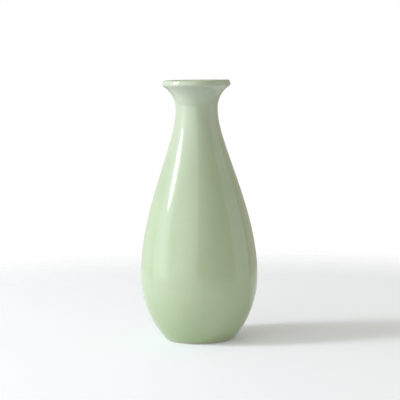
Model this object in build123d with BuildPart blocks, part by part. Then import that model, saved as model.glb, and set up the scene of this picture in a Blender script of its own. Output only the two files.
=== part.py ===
from build123d import *

import math
import os

# A pear-shaped sake bottle of the two-go size: one fired porcelain body on a turned foot ring,
# under three coats of celadon glaze. The outer coat runs from just above the foot over the
# rounded lip. The liner coat runs from the lip down the mouth, the throat and the inside to the
# floor. A third coat fills the dished hollow under the foot. The foot ring itself stays bare,
# because glaze there would stick to the kiln shelf.
#
# Millimetres, +Z up. The origin is the middle of the foot ring on the table.
# Every section is drawn as (radius, height) and revolved about Z.

# Overall sizes, measured over the glaze. The foot's is where the side would meet the table.
height = 175.0
belly_diameter = 78.8
belly_height = 43.4
neck_diameter = 28.3
lip_diameter = 46.0
lip_crest_diameter = 42.2
lip_edge_drop = 2.8
foot_diameter = 44.8

# Thicknesses: the wall and the base count the glaze on both sides
glaze = 0.35
wall = 3.7
lip_thickness = 3.0
base_thickness = 4.4

# Curves. Each shoulder is one cubic curve, upright at both ends: a pull is how far its handle
# reaches up from the belly, or down from the neck or the throat.
flare_radius = 17.0
neck_length = 1.8
throat_length = 6.0
belly_pull = 45.2
neck_pull = 22.3
inner_belly_pull = 44.5
throat_pull = 17.5
heel_radius = 6.0

# Foot ring
foot_ring_width = 4.6
foot_dish_depth = 3.0
foot_edge_radius = 1.2
glaze_line = 0.8
glaze_edge_radius = 0.2

# Centres that the sizes above lead to
belly_radius = belly_diameter / 2
neck_radius = neck_diameter / 2
foot_inset = belly_radius - foot_diameter / 2
side_radius = (foot_inset**2 + belly_height**2) / (2 * foot_inset)
side_centre = (belly_radius - side_radius, belly_height)

# The lip is two small circles joined by their tangent: its widest edge, and its crest above that
lip_radius = lip_thickness / 2
lip_edge = (lip_diameter / 2 - lip_radius, height - lip_edge_drop)
lip_crest = (lip_crest_diameter / 2, height - lip_radius)
flare_run = neck_radius + flare_radius - lip_edge[0]
flare_rise = math.sqrt((flare_radius + lip_radius) ** 2 - flare_run**2)
flare_centre = (neck_radius + flare_radius, lip_edge[1] - flare_rise)
shoulder_top = flare_centre[1] - neck_length

throat_radius = neck_radius - wall
throat_top = flare_centre[1]
throat_bottom = throat_top - throat_length
mouth_run = lip_crest[0] - throat_radius
mouth_rise = lip_crest[1] - throat_top
mouth_radius = (mouth_run**2 + mouth_rise**2 - lip_radius**2) / (2 * (mouth_run - lip_radius))
mouth_centre = (throat_radius + mouth_radius, throat_top)

floor_height = foot_dish_depth + base_thickness
dish_centre = (foot_diameter / 2 - foot_ring_width - foot_dish_depth, 0)


def direction(start, end):
    """The angle of the line from start to end, in degrees."""
    return math.degrees(math.atan2(end[1] - start[1], end[0] - start[0]))


def on_circle(centre, radius, angle):
    """The point of a circle at this angle."""
    turn = math.radians(angle)
    return (centre[0] + radius * math.cos(turn), centre[1] + radius * math.sin(turn))


def swing(centre, radius, start_angle, end_angle):
    """An arc about centre, from one angle to the other."""
    return CenterArc(centre, radius, start_angle, end_angle - start_angle)


def inside_side_arc(reach, level):
    """The centre, at this height, of a circle that touches the side's arc from within: reach is
    the side's radius less the circle's own."""
    offset = level - side_centre[1]
    return (side_centre[0] + math.sqrt(reach**2 - offset**2), level)


def eased(pull, bend, offset):
    """A curve's pull for its parallel at this offset, from the radius it bends with at its end."""
    return pull * math.sqrt(1 + offset / bend)


def bend_at_end(pull, width):
    """The radius that a cubic bends with at an upright end, from its pull and its width."""
    return 1.5 * pull**2 / width


def outside(depth, start_angle):
    """The outside from this angle of the side's arc to the lip's seam, this deep under the glaze."""
    width = belly_radius - neck_radius
    belly_reach = eased(belly_pull, bend_at_end(belly_pull, width), -depth)
    neck_reach = eased(neck_pull, bend_at_end(neck_pull, width), depth)
    flare_end = direction(flare_centre, lip_edge)
    bevel = direction(lip_edge, lip_crest) - 90
    lip_bend = lip_radius - depth
    swing(side_centre, side_radius - depth, start_angle, 0)
    Bezier(
        (belly_radius - depth, belly_height),
        (belly_radius - depth, belly_height + belly_reach),
        (neck_radius - depth, shoulder_top - neck_reach),
        (neck_radius - depth, shoulder_top),
    )
    Line((neck_radius - depth, shoulder_top), (neck_radius - depth, flare_centre[1]))
    swing(flare_centre, flare_radius + depth, 180, flare_end)
    swing(lip_edge, lip_bend, flare_end - 180, bevel)
    Line(on_circle(lip_edge, lip_bend, bevel), on_circle(lip_crest, lip_bend, bevel))
    swing(lip_crest, lip_bend, bevel, lip_seam)


def inside(depth):
    """The inside from the lip's seam to the middle of the floor, this deep under the glaze."""
    width = belly_radius - neck_radius
    belly_reach = eased(inner_belly_pull, bend_at_end(inner_belly_pull, width), depth)
    throat_reach = eased(throat_pull, bend_at_end(throat_pull, width), -depth)
    inner_radius = side_radius - wall + depth
    heel_centre = inside_side_arc(side_radius - wall - heel_radius, floor_height + heel_radius)
    heel_angle = direction(side_centre, heel_centre)
    swing(mouth_centre, mouth_radius - depth, lip_seam, 180)
    Line((throat_radius + depth, throat_top), (throat_radius + depth, throat_bottom))
    Bezier(
        (throat_radius + depth, throat_bottom),
        (throat_radius + depth, throat_bottom - throat_reach),
        (belly_radius - wall + depth, belly_height + belly_reach),
        (belly_radius - wall + depth, belly_height),
    )
    swing(side_centre, inner_radius, 0, heel_angle)
    swing(heel_centre, heel_radius + depth, heel_angle, -90)
    Line((heel_centre[0], floor_height - depth), (0, floor_height - depth))


def dish(depth, end_angle):
    """The hollow under the foot from its middle to this angle, this deep under the glaze."""
    Line((0, foot_dish_depth + depth), (dish_centre[0], foot_dish_depth + depth))
    swing(dish_centre, foot_dish_depth + depth, 90, end_angle)


# Where the coats stop, as angles about the arcs that they lie on
outer_stop = math.degrees(math.asin((glaze_line - belly_height) / (side_radius - glaze)))
dish_stop = math.degrees(math.asin(glaze_line / (foot_dish_depth + glaze)))
lip_seam = direction(mouth_centre, lip_crest)

# The fired body, drawn one glaze coat under every glazed surface. Its foot ring is bare.
with BuildPart() as porcelain_body:
    with BuildSketch(Plane.XZ):
        with BuildLine():
            foot_edge = inside_side_arc(side_radius - glaze - foot_edge_radius, foot_edge_radius)
            foot_edge_angle = direction(side_centre, foot_edge)
            dish(glaze, 0)
            Line((dish_centre[0] + foot_dish_depth + glaze, 0), (foot_edge[0], 0))
            swing(foot_edge, foot_edge_radius, -90, foot_edge_angle)
            outside(glaze, foot_edge_angle)
            inside(glaze)
            Line((0, floor_height - glaze), (0, foot_dish_depth + glaze))
        make_face()
    revolve(axis=Axis.Z)
porcelain_body.part.label = "porcelain_body"

# The coat on the outside, from the line above the foot to the seam inside the lip
with BuildPart() as outer_glaze:
    with BuildSketch(Plane.XZ):
        with BuildLine():
            outside(0, outer_stop)
            outside(glaze, outer_stop)
            Line(
                on_circle(side_centre, side_radius, outer_stop),
                on_circle(side_centre, side_radius - glaze, outer_stop),
            )
            Line(
                on_circle(lip_crest, lip_radius, lip_seam),
                on_circle(lip_crest, lip_radius - glaze, lip_seam),
            )
        coat = make_face()
        # A sketch has its own axes, in which height is Y
        fillet(coat.vertices().sort_by(Axis.Y)[0], glaze_edge_radius)
    revolve(axis=Axis.Z)
outer_glaze.part.label = "outer_glaze"

# The liner, from the lip's seam to the floor
with BuildPart() as liner_glaze:
    with BuildSketch(Plane.XZ):
        with BuildLine():
            inside(0)
            inside(glaze)
            Line(
                on_circle(lip_crest, lip_radius, lip_seam),
                on_circle(lip_crest, lip_radius - glaze, lip_seam),
            )
            Line((0, floor_height), (0, floor_height - glaze))
        make_face()
    revolve(axis=Axis.Z)
liner_glaze.part.label = "liner_glaze"

# The coat in the hollow under the foot
with BuildPart() as foot_glaze:
    with BuildSketch(Plane.XZ):
        with BuildLine():
            dish(0, dish_stop)
            dish(glaze, dish_stop)
            Line((0, foot_dish_depth), (0, foot_dish_depth + glaze))
            Line(
                on_circle(dish_centre, foot_dish_depth, dish_stop),
                on_circle(dish_centre, foot_dish_depth + glaze, dish_stop),
            )
        make_face()
    revolve(axis=Axis.Z)
foot_glaze.part.label = "foot_glaze"

os.makedirs("parts", exist_ok=True)
export_step(porcelain_body.part, "parts/porcelain_body.step")
export_step(outer_glaze.part, "parts/outer_glaze.step")
export_step(liner_glaze.part, "parts/liner_glaze.step")
export_step(foot_glaze.part, "parts/foot_glaze.step")
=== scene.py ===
import math

import bmesh
import bpy
import numpy as np
from mathutils import Matrix, Vector


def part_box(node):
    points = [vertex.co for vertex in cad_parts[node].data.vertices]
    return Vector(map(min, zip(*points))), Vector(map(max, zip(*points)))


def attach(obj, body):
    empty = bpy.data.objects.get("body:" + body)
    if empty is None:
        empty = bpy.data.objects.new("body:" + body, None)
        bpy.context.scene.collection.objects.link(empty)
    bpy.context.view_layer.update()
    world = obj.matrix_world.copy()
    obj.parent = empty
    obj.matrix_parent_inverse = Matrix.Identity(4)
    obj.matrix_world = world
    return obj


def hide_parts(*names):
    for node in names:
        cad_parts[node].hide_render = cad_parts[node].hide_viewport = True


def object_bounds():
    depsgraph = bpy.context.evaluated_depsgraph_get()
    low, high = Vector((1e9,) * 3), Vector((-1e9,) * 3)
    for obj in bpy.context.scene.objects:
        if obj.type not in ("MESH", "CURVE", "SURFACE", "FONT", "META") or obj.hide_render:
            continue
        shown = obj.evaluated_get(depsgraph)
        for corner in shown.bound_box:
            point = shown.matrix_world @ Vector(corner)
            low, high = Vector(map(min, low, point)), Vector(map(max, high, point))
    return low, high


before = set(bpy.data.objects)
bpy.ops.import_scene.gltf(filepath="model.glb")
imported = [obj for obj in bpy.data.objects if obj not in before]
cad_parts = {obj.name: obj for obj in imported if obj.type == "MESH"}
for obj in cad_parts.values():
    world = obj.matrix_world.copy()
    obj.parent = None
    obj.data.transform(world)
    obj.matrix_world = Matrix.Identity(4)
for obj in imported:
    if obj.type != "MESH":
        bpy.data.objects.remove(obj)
cad_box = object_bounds()

# A pear-shaped celadon sake bottle. Everything is in metres, +Z up, and it stands on z = 0.
# Each visible piece is spun from the section of the CAD node that it replaces, drawn finer, and
# then given what a kiln and a hand leave: a form that isn't quite round, a glaze line that wanders
# above the foot and rolls over at its edge, and turning marks on the bare foot ring.

MM = 0.001

# How finely the sections are drawn and spun
LONGEST_STEP = 1.2 * MM
LARGEST_TURN = math.radians(4)
SAMPLES_PER_POINT = 40
SPIN_STEPS = 128
SAME_PLACE = 0.002 * MM

# What ends a smooth stretch of a section: this sharp a turn, or a step this many times its neighbour
CORNER = math.radians(55)
UNEVEN = 4

# How far the form strays from round, and the radius inside which it strays less and less. Each wave
# is its share, how many times it goes round, where it starts, and how far it twists up the bottle.
OUT_OF_ROUND = 0.10 * MM
STEADY_RADIUS = 10 * MM
ROUND_WAVES = ((0.55, 2, 0.7, 1.1), (0.30, 3, 2.0, -2.6), (0.15, 5, 4.4, 5.2))

# The glaze line: how far it strays and how high up that is felt, its waves (share, times round and
# start), and the roll of glass at its edge
LINE_WANDER = 0.25 * MM
LINE_REACH = 6.0 * MM
LINE_WAVES = ((0.5, 2, 1.3), (0.3, 5, 0.4), (0.2, 11, 2.2))
EDGE_ROLL = 0.10 * MM
EDGE_ROLL_HEIGHT = 0.9 * MM

# The trimming tool's rings on the foot ring
TURNING_SPACING = 0.7 * MM
TURNING_DEPTH = 0.04 * MM
POINTS_PER_MARK = 8

height = cad_box[1][2]
glaze_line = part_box("outer_glaze")[0].z


# Sections


def halve(mesh, facing, **how):
    """Cut a bmesh through its axis, and give the vertices and edges of the cut."""
    everything = mesh.verts[:] + mesh.edges[:] + mesh.faces[:]
    found = bmesh.ops.bisect_plane(
        mesh, geom=everything, dist=SAME_PLACE, plane_co=(0, 0, 0), plane_no=facing, **how
    )
    return found["geom_cut"]


def section(node):
    """A CAD node's section on the +X side of its axis: its (radius, height) points in order, and
    whether they close into a ring."""
    cut = bmesh.new()
    cut.from_mesh(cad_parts[node].data)
    bmesh.ops.remove_doubles(cut, verts=cut.verts, dist=SAME_PLACE)
    halve(cut, (1, 0, 0), clear_inner=True)
    beside = {}
    for part in halve(cut, (0, 1, 0)):
        if isinstance(part, bmesh.types.BMEdge):
            first, second = part.verts
            beside.setdefault(first, []).append(second)
            beside.setdefault(second, []).append(first)
    ends = [vert for vert, others in beside.items() if len(others) == 1]
    vert = ends[0] if ends else next(iter(beside))
    walk, seen = [], set()
    while vert is not None:
        walk.append((vert.co.x, vert.co.z))
        seen.add(vert)
        vert = next((other for other in beside[vert] if other not in seen), None)
    cut.free()
    return np.array(walk), not ends


def breaks(points, closed):
    """Where one stretch of the section ends and the next begins: at a corner, and where a straight
    meets a tight bend, which shows as a long step beside a short one. An open section also has its
    two ends."""
    before = points - np.roll(points, 1, axis=0)
    after = np.roll(points, -1, axis=0) - points
    turn = np.arctan2(after[:, 1], after[:, 0]) - np.arctan2(before[:, 1], before[:, 0])
    turn = np.abs((turn + math.pi) % (2 * math.pi) - math.pi)
    steps = np.hypot(*before.T), np.hypot(*after.T)
    ends = (turn > CORNER) | (np.maximum(*steps) > UNEVEN * np.minimum(*steps))
    if not closed:
        ends[[0, -1]] = True
    return np.flatnonzero(ends)


def smooth_run(points):
    """A natural cubic spline through the points, in steps that shorten where it bends."""
    if len(points) < 3:
        return points
    chord = np.hypot(*np.diff(points, axis=0).T)
    along = np.append(0, np.cumsum(chord))
    count = len(points)
    matrix = np.eye(count)
    target = np.zeros((count, 2))
    for i in range(1, count - 1):
        matrix[i, i - 1 : i + 2] = chord[i - 1], 2 * (chord[i - 1] + chord[i]), chord[i]
        target[i] = 6 * (
            (points[i + 1] - points[i]) / chord[i] - (points[i] - points[i - 1]) / chord[i - 1]
        )
    bend = np.linalg.solve(matrix, target)
    fine = np.linspace(0, along[-1], SAMPLES_PER_POINT * count)
    i = np.clip(np.searchsorted(along, fine, side="right") - 1, 0, count - 2)
    width = chord[i][:, None]
    to_end = (along[i + 1] - fine)[:, None]
    to_start = (fine - along[i])[:, None]
    line = (bend[i] * to_end**3 + bend[i + 1] * to_start**3) / (6 * width)
    line += (points[i] / width - bend[i] * width / 6) * to_end
    line += (points[i + 1] / width - bend[i + 1] * width / 6) * to_start
    step = np.hypot(*np.diff(line, axis=0).T)
    heading = np.unwrap(np.arctan2(*np.diff(line, axis=0).T[::-1]))
    turn = np.append(0, np.abs(np.diff(heading)))
    weight = np.append(0, np.cumsum(step / LONGEST_STEP + turn / LARGEST_TURN))
    even = np.linspace(0, weight[-1], max(2, math.ceil(weight[-1])) + 1)
    return np.column_stack([np.interp(even, weight, line[:, axis]) for axis in (0, 1)])


def outline(node):
    """A CAD node's section, redrawn stretch by stretch."""
    points, closed = section(node)
    marks = breaks(points, closed)
    if closed:
        points = np.roll(points, -marks[0], axis=0)
        points = np.vstack([points, points[0]])
        marks = np.append(marks - marks[0], len(points) - 1)
    runs = [smooth_run(points[a : b + 1]) for a, b in zip(marks[:-1], marks[1:])]
    joined = np.vstack([run[:-1] for run in runs])
    if not closed:
        joined = np.vstack([joined, points[-1]])
    return joined, closed


# Pieces


def spun(node):
    """A closed bmesh: the node's outline, turned all the way round."""
    points, closed = outline(node)
    mesh = bmesh.new()
    verts = [mesh.verts.new((max(radius, 0), 0, level)) for radius, level in points]
    edges = [mesh.edges.new(pair) for pair in zip(verts[:-1], verts[1:])]
    if closed:
        edges.append(mesh.edges.new((verts[-1], verts[0])))
    bmesh.ops.spin(
        mesh,
        geom=verts + edges,
        cent=(0, 0, 0),
        axis=(0, 0, 1),
        angle=2 * math.pi,
        steps=SPIN_STEPS,
        use_merge=True,
    )
    bmesh.ops.remove_doubles(mesh, verts=mesh.verts, dist=SAME_PLACE)
    bmesh.ops.recalc_face_normals(mesh, faces=mesh.faces)
    return mesh


def not_quite_round(mesh):
    """Pull the form a hair out of round, by one rule for every piece, so that they still meet."""
    for vert in mesh.verts:
        angle = math.atan2(vert.co.y, vert.co.x)
        level = vert.co.z / height
        radius = vert.co.xy.length
        pull = sum(
            share * math.cos(times * angle + start + twist * level)
            for share, times, start, twist in ROUND_WAVES
        )
        reach = min(1, radius / STEADY_RADIUS)
        # The least radius only keeps the point on the axis from dividing by zero
        vert.co.xy *= 1 + OUT_OF_ROUND * pull * reach / max(radius, MM)


def finish_piece(mesh, name, material, node):
    """Make the bmesh a smooth-shaded object that rides on the body and stands for this CAD node."""
    data = bpy.data.meshes.new(name)
    mesh.to_mesh(data)
    mesh.free()
    data.shade_smooth()
    data.set_sharp_from_angle(angle=CORNER)
    data.materials.append(material)
    piece = bpy.data.objects.new(name, data)
    bpy.context.scene.collection.objects.link(piece)
    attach(piece, "root")
    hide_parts(node)


def wander(angle):
    """How far the glaze line strays up or down at this angle, from -1 to 1."""
    return sum(share * math.cos(times * angle + start) for share, times, start in LINE_WAVES)


def outer_coat():
    """The glaze on the outside. Its lower edge wanders and ends in a small roll."""
    mesh = spun("outer_glaze")
    mesh.normal_update()
    low = [
        vert.co.copy()
        for vert in mesh.verts
        if vert.co.x > 0 and abs(vert.co.y) < SAME_PLACE and vert.co.z < glaze_line + LINE_REACH
    ]
    edge = min(low, key=lambda place: place.z)
    side = max(low, key=lambda place: place.x)
    up_the_side = (side - edge).normalized()
    for vert in mesh.verts:
        rise = vert.co.z - glaze_line
        if rise < LINE_REACH:
            angle = math.atan2(vert.co.y, vert.co.x)
            around = Matrix.Rotation(angle, 3, "Z")
            fade = (1 - rise / LINE_REACH) ** 2
            outward = max(0, vert.normal.dot(around @ Vector((1, 0, 0))))
            roll = EDGE_ROLL * math.exp(-(((rise - EDGE_ROLL_HEIGHT) / EDGE_ROLL_HEIGHT) ** 2))
            vert.co += around @ up_the_side * LINE_WANDER * wander(angle) * fade
            vert.co += vert.normal * roll * outward
    not_quite_round(mesh)
    return mesh


def plain_coat(node):
    """The liner or the coat in the foot's hollow."""
    mesh = spun(node)
    not_quite_round(mesh)
    return mesh


def turning_marks(mesh):
    """Cut the shallow rings that a trimming tool leaves into the flat of the foot ring."""
    across = [
        edge
        for edge in mesh.edges
        if max(vert.co.z for vert in edge.verts) < SAME_PLACE
        and abs(edge.verts[0].co.xy.length - edge.verts[1].co.xy.length) > SAME_PLACE
    ]
    inner = min(vert.co.xy.length for edge in across for vert in edge.verts)
    outer = max(vert.co.xy.length for edge in across for vert in edge.verts)
    marks = round((outer - inner) / TURNING_SPACING)
    bmesh.ops.subdivide_edges(
        mesh, edges=across, cuts=marks * POINTS_PER_MARK - 1, use_grid_fill=True
    )
    for vert in mesh.verts:
        across_flat = (vert.co.xy.length - inner) / (outer - inner)
        if vert.co.z < SAME_PLACE and 0 < across_flat < 1:
            vert.co.z += TURNING_DEPTH * math.sin(math.pi * marks * across_flat) ** 2


def fired_body():
    """The clay. Only its foot ring shows."""
    mesh = spun("porcelain_body")
    turning_marks(mesh)
    not_quite_round(mesh)
    return mesh


# Materials

# The glaze by height, as shares of the bottle's height: pooled against the foot, thick on the belly
# and the shoulder, and thin over the lip. The stops were set to the shading at each height, so
# besides the glaze's own tone they carry painted shade. This is strongest in the darkening towards
# the foot, which is partly pooled glaze and partly painted shade for the shadow and dim bounce there.
GLAZE_AND_SHADE_BY_HEIGHT = (
    (0.0, "#98A880"),
    (0.2, "#B0BC9E"),
    (0.7, "#ABB89C"),
    (1.0, "#BCC4B4"),
)
CLOUD_SIZE = 22 * MM
CLOUD_SHADE = (0.965, 1.02)
RIPPLE_SIZE = 14 * MM
RIPPLE_DEPTH = 0.03 * MM
RIPPLE_ROUGHNESS = (0.07, 0.12)
# The real bubbles in the glaze are about 0.1 mm across, too fine to show, so they are drawn coarser
BUBBLE_SIZE = 1.1 * MM
BUBBLE_SHADE = (0.985, 1.015)
# The clay's real grit is under 0.1 mm, too fine to show, so it is drawn coarser
GRIT_SIZE = 0.6 * MM
GRIT_DEPTH = 0.02 * MM
# The toasting fades in from here up to the glaze line, where it covers this much of the clay
TOAST_START = 0.1 * MM
TOAST_COVER = 0.7

# The table, which isn't part of the bottle: its radius, and how far out it starts to fade
TABLE_RADIUS = 0.49
TABLE_FADE = 0.28
TABLE_SEGMENTS = 256


def linear(code):
    """An sRGB hex colour as linear red, green, blue and alpha."""
    parts = [int(code[i : i + 2], 16) / 255 for i in (1, 3, 5)]
    return [c / 12.92 if c <= 0.04045 else ((c + 0.055) / 1.055) ** 2.4 for c in parts] + [1]


def add(tree, kind, settings=None, values=None, links=None):
    """A node with its settings, its sockets' own values, and what its sockets are linked to."""
    made = tree.nodes.new(kind)
    for name, value in (settings or {}).items():
        setattr(made, name, value)
    for name, value in (values or {}).items():
        made.inputs[name].default_value = value
    for name, socket in (links or {}).items():
        tree.links.new(socket, made.inputs[name])
    return made


def fill_ramp(ramp, stops):
    """Give a colour ramp these stops, each a position and a hex colour."""
    ramp.interpolation = "B_SPLINE" if len(stops) > 2 else "LINEAR"
    while len(ramp.elements) < len(stops):
        ramp.elements.new(0.5)
    for element, (at, code) in zip(ramp.elements, stops):
        element.position = at
        element.color = linear(code)


def new_material(name):
    """An empty material, its tree and its output node."""
    material = bpy.data.materials.new(name)
    material.use_nodes = True
    material.node_tree.nodes.clear()
    return material, material.node_tree, add(material.node_tree, "ShaderNodeOutputMaterial")


def reduction_fired_celadon():
    """Celadon: a feldspar glaze with a trace of iron, poured thick and fired in reduction. It is
    glassy and pale green. It is paler and greyer where it thins over the lip. It is darker and
    greener towards the foot and inside on the floor, partly where it pools and partly as painted
    shade for the shadow low on the bottle. Its surface ripples slightly, so reflections aren't ruled."""
    material, tree, output = new_material("reduction_fired_celadon")
    place = add(tree, "ShaderNodeTexCoord")
    split = add(tree, "ShaderNodeSeparateXYZ", links={0: place.outputs["Object"]})
    level = add(
        tree,
        "ShaderNodeMapRange",
        values={"From Min": 0, "From Max": height},
        links={"Value": split.outputs["Z"]},
    )
    # The glaze colour by height, with painted shade darkening it towards the foot
    glaze_and_shade = add(tree, "ShaderNodeValToRGB", links={"Fac": level.outputs[0]})
    fill_ramp(glaze_and_shade.color_ramp, GLAZE_AND_SHADE_BY_HEIGHT)
    cloud = add(
        tree,
        "ShaderNodeTexNoise",
        values={"Scale": 1 / CLOUD_SIZE, "Detail": 3, "Roughness": 0.5},
        links={"Vector": place.outputs["Object"]},
    )
    shade = add(
        tree,
        "ShaderNodeMapRange",
        values={
            "From Min": 0.3,
            "From Max": 0.7,
            "To Min": CLOUD_SHADE[0],
            "To Max": CLOUD_SHADE[1],
        },
        links={"Value": cloud.outputs["Fac"]},
    )
    bubbles = add(
        tree,
        "ShaderNodeTexNoise",
        values={"Scale": 1 / BUBBLE_SIZE, "Detail": 2, "Roughness": 0.6},
        links={"Vector": place.outputs["Object"]},
    )
    milk = add(
        tree,
        "ShaderNodeMapRange",
        values={
            "From Min": 0.35,
            "From Max": 0.7,
            "To Min": BUBBLE_SHADE[0],
            "To Max": BUBBLE_SHADE[1],
        },
        links={"Value": bubbles.outputs["Fac"]},
    )
    depth = add(
        tree,
        "ShaderNodeMath",
        settings={"operation": "MULTIPLY"},
        links={0: shade.outputs[0], 1: milk.outputs[0]},
    )
    colour = add(
        tree,
        "ShaderNodeMix",
        settings={"data_type": "RGBA", "blend_type": "MULTIPLY"},
        values={0: 1},
        links={6: glaze_and_shade.outputs["Color"], 7: depth.outputs[0]},
    )
    ripples = add(
        tree,
        "ShaderNodeTexNoise",
        values={"Scale": 1 / RIPPLE_SIZE, "Detail": 2, "Roughness": 0.35},
        links={"Vector": place.outputs["Object"]},
    )
    surface = add(
        tree,
        "ShaderNodeBump",
        values={"Strength": 1, "Distance": RIPPLE_DEPTH},
        links={"Height": ripples.outputs["Fac"]},
    )
    gloss = add(
        tree,
        "ShaderNodeMapRange",
        values={
            "From Min": 0.3,
            "From Max": 0.7,
            "To Min": RIPPLE_ROUGHNESS[0],
            "To Max": RIPPLE_ROUGHNESS[1],
        },
        links={"Value": ripples.outputs["Fac"]},
    )
    shader = add(
        tree,
        "ShaderNodeBsdfPrincipled",
        values={"IOR": 1.52},
        links={
            "Base Color": colour.outputs[2],
            "Roughness": gloss.outputs[0],
            "Normal": surface.outputs["Normal"],
        },
    )
    tree.links.new(shader.outputs[0], output.inputs["Surface"])
    return material


def unglazed_fired_porcelain():
    """Porcelain wiped clean before the firing: matt, off-white and finely gritty, and toasted to
    a warm orange line where it meets the glaze."""
    material, tree, output = new_material("unglazed_fired_porcelain")
    place = add(tree, "ShaderNodeTexCoord")
    grain = add(
        tree,
        "ShaderNodeTexNoise",
        values={"Scale": 1 / GRIT_SIZE, "Detail": 4, "Roughness": 0.6},
        links={"Vector": place.outputs["Object"]},
    )
    clay = add(tree, "ShaderNodeValToRGB", links={"Fac": grain.outputs["Fac"]})
    fill_ramp(clay.color_ramp, ((0.3, "#D2C7B2"), (0.7, "#E8E1D2")))
    split = add(tree, "ShaderNodeSeparateXYZ", links={0: place.outputs["Object"]})
    toast = add(
        tree,
        "ShaderNodeMapRange",
        values={
            "From Min": TOAST_START,
            "From Max": glaze_line,
            "To Min": 0,
            "To Max": TOAST_COVER,
        },
        links={"Value": split.outputs["Z"]},
    )
    colour = add(
        tree,
        "ShaderNodeMix",
        settings={"data_type": "RGBA"},
        values={7: linear("#C79A6B")},
        links={0: toast.outputs[0], 6: clay.outputs["Color"]},
    )
    surface = add(
        tree,
        "ShaderNodeBump",
        values={"Strength": 1, "Distance": GRIT_DEPTH},
        links={"Height": grain.outputs["Fac"]},
    )
    shader = add(
        tree,
        "ShaderNodeBsdfPrincipled",
        values={"Roughness": 0.65, "IOR": 1.5},
        links={"Base Color": colour.outputs[2], "Normal": surface.outputs["Normal"]},
    )
    tree.links.new(shader.outputs[0], output.inputs["Surface"])
    return material


def opal_acrylic():
    """The light table under the bottle: matt white acrylic, lit a little from below.
    Towards its rim it fades into the backdrop."""
    material, tree, output = new_material("opal_acrylic")
    place = add(tree, "ShaderNodeTexCoord")
    reach = add(
        tree,
        "ShaderNodeVectorMath",
        settings={"operation": "LENGTH"},
        links={0: place.outputs["Object"]},
    )
    fade = add(
        tree,
        "ShaderNodeMapRange",
        settings={"interpolation_type": "SMOOTHSTEP"},
        values={"From Min": TABLE_FADE, "From Max": TABLE_RADIUS},
        links={"Value": reach.outputs["Value"]},
    )
    acrylic = add(
        tree,
        "ShaderNodeBsdfPrincipled",
        values={
            "Base Color": linear("#F7F8FF"),
            "Roughness": 0.7,
            "Emission Color": linear("#DCE0FF"),
            "Emission Strength": 0.1,
        },
    )
    clear = add(tree, "ShaderNodeBsdfTransparent")
    both = add(
        tree,
        "ShaderNodeMixShader",
        links={0: fade.outputs[0], 1: acrylic.outputs[0], 2: clear.outputs[0]},
    )
    tree.links.new(both.outputs[0], output.inputs["Surface"])
    return material


# Studio


def light_table():
    """A round white tabletop."""
    mesh = bmesh.new()
    bmesh.ops.create_circle(mesh, cap_ends=True, radius=TABLE_RADIUS, segments=TABLE_SEGMENTS)
    data = bpy.data.meshes.new("light_table")
    mesh.to_mesh(data)
    mesh.free()
    data.materials.append(opal_acrylic())
    made = bpy.data.objects.new("light_table", data)
    bpy.context.scene.collection.objects.link(made)


def panel(
    name, azimuth, elevation, distance, width, tall, power, colour="#FFFFFF", shape="RECTANGLE"
):
    """A soft panel that faces the middle of the bottle, unseen by the camera. Its angles are in
    degrees, with azimuth 0 in front and 90 to the right, its lengths in metres and its power in
    watts."""
    turn, lift = math.radians(azimuth), math.radians(elevation)
    middle = Vector((0, 0, height / 2))
    away = Vector((math.sin(turn) * math.cos(lift), -math.cos(turn) * math.cos(lift), math.sin(lift)))
    lamp = bpy.data.lights.new(name, "AREA")
    lamp.shape = shape
    lamp.size = width
    lamp.size_y = tall
    lamp.energy = power
    lamp.color = linear(colour)[:3]
    made = bpy.data.objects.new(name, lamp)
    made.location = middle + distance * away
    made.rotation_euler = away.to_track_quat("Z", "Y").to_euler()
    made.visible_camera = False
    bpy.context.scene.collection.objects.link(made)


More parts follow.
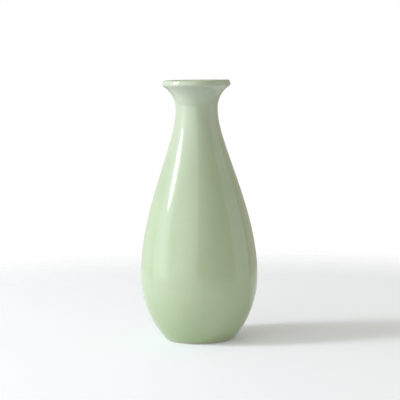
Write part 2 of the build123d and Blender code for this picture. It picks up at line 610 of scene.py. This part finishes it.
def surroundings(colour, strength, seen, seen_strength):
    """Even light from all round, with a white backdrop where the camera looks past the floor."""
    world = bpy.data.worlds.new("surroundings")
    world.use_nodes = True
    tree = world.node_tree
    tree.nodes.clear()
    light = add(
        tree, "ShaderNodeBackground", values={"Color": linear(colour), "Strength": strength}
    )
    backdrop = add(
        tree, "ShaderNodeBackground", values={"Color": linear(seen), "Strength": seen_strength}
    )
    path = add(tree, "ShaderNodeLightPath")
    either = add(
        tree,
        "ShaderNodeMixShader",
        links={0: path.outputs["Is Camera Ray"], 1: light.outputs[0], 2: backdrop.outputs[0]},
    )
    add(tree, "ShaderNodeOutputWorld", links={"Surface": either.outputs[0]})
    bpy.context.scene.world = world


# The camera: a long lens a metre away, a little above the lip, looking slightly down. Its focal
# length and its sensor are in the millimetres that it takes.
CAMERA_DISTANCE = 5.8 * height
CAMERA_HEIGHT = 1.08 * height
LENS = 136.1
SENSOR_WIDTH = 36
LOOK_AT = Vector((1.3 * MM, 0, 94.3 * MM))
CAMERA_ROLL = math.radians(-0.9)


def camera():
    """The camera, rolled a little off level."""
    data = bpy.data.cameras.new("camera")
    data.lens = LENS
    data.sensor_width = SENSOR_WIDTH
    made = bpy.data.objects.new("camera", data)
    made.location = (0, -CAMERA_DISTANCE, CAMERA_HEIGHT)
    towards = LOOK_AT - made.location
    facing = towards.to_track_quat("-Z", "Y").to_matrix()
    made.rotation_euler = (facing @ Matrix.Rotation(CAMERA_ROLL, 3, "Z")).to_euler()
    bpy.context.scene.collection.objects.link(made)
    bpy.context.scene.camera = made


glaze = reduction_fired_celadon()
clay = unglazed_fired_porcelain()
liner = plain_coat("liner_glaze")
under_foot = plain_coat("foot_glaze")
finish_piece(fired_body(), "fired_porcelain", clay, "porcelain_body")
finish_piece(outer_coat(), "celadon_outside", glaze, "outer_glaze")
finish_piece(liner, "celadon_liner", glaze, "liner_glaze")
finish_piece(under_foot, "celadon_under_foot", glaze, "foot_glaze")

light_table()
# Each panel's azimuth, elevation, distance, width, height and power
panel("window", -47, 20, 2.0, 3.7, 2.2, 34, "#EBF7FF")
panel("strip", -79, 32.3, 1.8, 0.42, 0.90, 15, shape="ELLIPSE")
panel("left_wall", -85, 15, 2.0, 1.4, 2.0, 13, "#E0F0FF")
panel("right_wall", 95, 12, 2.2, 1.6, 2.0, 7.8, "#DCE6FF")
panel("back_left", -143, 15, 2.2, 3.0, 2.0, 10, "#DCE8FF")
panel("back_right", 140, 15, 2.2, 1.6, 2.0, 2.0)
surroundings("#FFF8D3", 0.38, "#FFFFFF", 1.0)
bpy.context.scene.view_settings.view_transform = "Standard"
camera()
